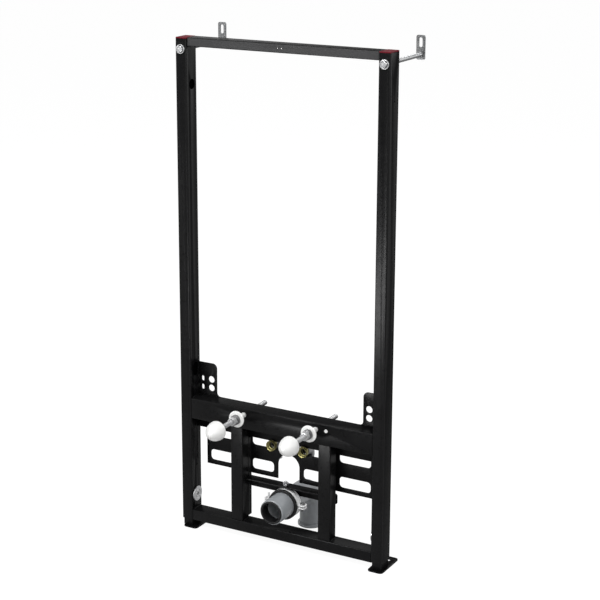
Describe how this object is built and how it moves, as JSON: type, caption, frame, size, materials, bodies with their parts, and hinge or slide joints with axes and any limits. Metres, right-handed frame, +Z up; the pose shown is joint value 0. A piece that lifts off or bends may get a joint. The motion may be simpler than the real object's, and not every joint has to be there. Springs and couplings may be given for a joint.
{
  "type": "bidet installation frame",
  "caption": "Upright steel frame for a wall-hung bidet, with hanging studs, waste bend, water elbows, wall arms and height-adjustable feet.",
  "frame": {"origin": "centre of the bounding box's footprint, at the undersides of the foot plates", "axes": "+Z up, -Y towards the bidet (front), +X to the right seen from the front"},
  "size_m": [0.511, 0.319, 1.136],
  "materials": {
    "bottom_rail_coat": "black powder coat",
    "clamp_bar_coat": "black powder coat",
    "clamp_liner_rubber": "matt",
    "clamp_lower_zinc": "zinc plated",
    "clamp_upper_zinc": "zinc plated",
    "ear_plate_coat": "black powder coat",
    "hanger_bolt_zinc": "zinc plated",
    "hanger_nut_zinc": "zinc plated",
    "left_clamp_screw_zinc": "zinc plated",
    "left_end_cap_red": "moulded",
    "left_foot_plate_coat": "black powder coat",
    "left_leg_coat": "black powder coat",
    "left_leg_lock_zinc": "zinc plated",
    "left_post_coat": "black powder coat",
    "left_stud_zinc": "zinc plated",
    "left_stud_back_nut_zinc": "zinc plated",
    "left_stud_cap_white": "moulded",
    "left_stud_nut_zinc": "zinc plated",
    "left_stud_sleeve_white": "moulded",
    "left_upright_coat": "black powder coat",
    "left_wall_arm_zinc": "zinc plated",
    "left_wall_arm_nut_zinc": "zinc plated",
    "left_water_elbow_brass": "cast and turned",
    "left_water_union_zinc": "zinc plated",
    "right_clamp_screw_zinc": "zinc plated",
    "right_end_cap_red": "moulded",
    "right_foot_plate_coat": "black powder coat",
    "right_leg_coat": "black powder coat",
    "right_leg_lock_zinc": "zinc plated",
    "right_post_coat": "black powder coat",
    "right_stud_zinc": "zinc plated",
    "right_stud_back_nut_zinc": "zinc plated",
    "right_stud_cap_white": "moulded",
    "right_stud_nut_zinc": "zinc plated",
    "right_stud_sleeve_white": "moulded",
    "right_upright_coat": "black powder coat",
    "right_wall_arm_zinc": "zinc plated",
    "right_wall_arm_nut_zinc": "zinc plated",
    "right_water_elbow_brass": "cast and turned",
    "right_water_union_zinc": "zinc plated",
    "slotted_plate_coat": "black powder coat",
    "stud_rail_coat": "black powder coat",
    "top_rail_coat": "black powder coat",
    "waste_elbow_gray": "moulded polypropylene",
    "waste_seal_rubber": "matt"
  },
  "bodies": {
    "frame": {"bottom_rail": "bottom_rail_coat", "clamp_bar": "clamp_bar_coat", "clamp_liner": "clamp_liner_rubber", "clamp_lower": "clamp_lower_zinc", "clamp_upper": "clamp_upper_zinc", "ear_plate": "ear_plate_coat", "hanger_bolt": "hanger_bolt_zinc", "hanger_nut": "hanger_nut_zinc", "left_clamp_screw": "left_clamp_screw_zinc", "left_end_cap": "left_end_cap_red", "left_leg_lock": "left_leg_lock_zinc", "left_post": "left_post_coat", "left_stud": "left_stud_zinc", "left_stud_back_nut": "left_stud_back_nut_zinc", "left_stud_cap": "left_stud_cap_white", "left_stud_nut": "left_stud_nut_zinc", "left_stud_sleeve": "left_stud_sleeve_white", "left_upright": "left_upright_coat", "left_wall_arm": "left_wall_arm_zinc", "left_wall_arm_nut": "left_wall_arm_nut_zinc", "left_water_elbow": "left_water_elbow_brass", "left_water_union": "left_water_union_zinc", "right_clamp_screw": "right_clamp_screw_zinc", "right_end_cap": "right_end_cap_red", "right_leg_lock": "right_leg_lock_zinc", "right_post": "right_post_coat", "right_stud": "right_stud_zinc", "right_stud_back_nut": "right_stud_back_nut_zinc", "right_stud_cap": "right_stud_cap_white", "right_stud_nut": "right_stud_nut_zinc", "right_stud_sleeve": "right_stud_sleeve_white", "right_upright": "right_upright_coat", "right_wall_arm": "right_wall_arm_zinc", "right_wall_arm_nut": "right_wall_arm_nut_zinc", "right_water_elbow": "right_water_elbow_brass", "right_water_union": "right_water_union_zinc", "slotted_plate": "slotted_plate_coat", "stud_rail": "stud_rail_coat", "top_rail": "top_rail_coat", "waste_elbow": "waste_elbow_gray", "waste_seal": "waste_seal_rubber"},
    "left_foot": {"left_leg": "left_leg_coat", "left_foot_plate": "left_foot_plate_coat"},
    "right_foot": {"right_leg": "right_leg_coat", "right_foot_plate": "right_foot_plate_coat"}
  },
  "joints": [
    {"name": "left_leg_slide", "type": "slide", "parent": "frame", "child": "left_foot", "axis": [0, 0, -1], "range_m": [0, 0.2]},
    {"name": "right_leg_slide", "type": "slide", "parent": "frame", "child": "right_foot", "axis": [0, 0, -1], "range_m": [0, 0.2]}
  ]
}
